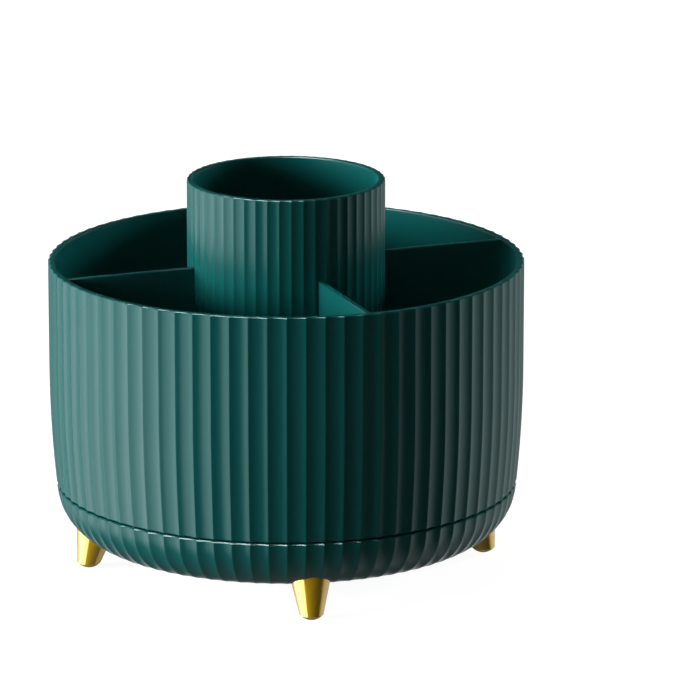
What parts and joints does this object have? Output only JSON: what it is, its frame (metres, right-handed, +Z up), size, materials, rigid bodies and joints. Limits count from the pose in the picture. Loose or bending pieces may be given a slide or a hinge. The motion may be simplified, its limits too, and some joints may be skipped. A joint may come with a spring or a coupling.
{
  "type": "rotating make-up organizer",
  "caption": "Round fluted make-up organizer: an open bowl split by straight walls around a tall brush cup, turning on a base with tapered feet.",
  "frame": {"origin": "on the floor under the feet, on the turning axis", "axes": "+Z up along the turning axis, a foot along each of -Y, +X, +Y and -X, the front towards -Y"},
  "size_m": [0.1498, 0.1498, 0.125],
  "materials": {
    "green_plastic": "satin moulded dark green plastic",
    "gold_feet": "polished gold plate",
    "bearing_plastic": "plain white moulded plastic",
    "bearing_steel": "bright steel"
  },
  "bodies": {
    "base": {"base_dish": "green_plastic", "foot_front": "gold_feet", "foot_right": "gold_feet", "foot_back": "gold_feet", "foot_left": "gold_feet", "foot_screws": "bearing_steel", "lower_race": "bearing_plastic", "pivot_washer": "bearing_steel", "pivot_screw": "bearing_steel"},
    "carousel": {"bowl": "green_plastic", "divider_front": "green_plastic", "divider_right": "green_plastic", "divider_back": "green_plastic", "divider_left": "green_plastic", "brush_cup": "green_plastic", "cup_screws": "bearing_steel", "upper_race": "bearing_plastic", "hub_bush": "bearing_plastic"},
    "cage": {"ball_cage": "bearing_plastic", "bearing_balls": "bearing_steel"}
  },
  "joints": [
    {"name": "spin", "type": "hinge", "parent": "base", "child": "carousel", "pos_m": [0, 0, 0.0275], "axis": [0, 0, 1], "continuous": true},
    {"name": "cage_spin", "type": "hinge", "parent": "base", "child": "cage", "pos_m": [0, 0, 0.02106], "axis": [0, 0, 1], "continuous": true}
  ],
  "couplings": [
    {"joint": "cage_spin", "follows": "spin", "ratio": 0.5}
  ]
}
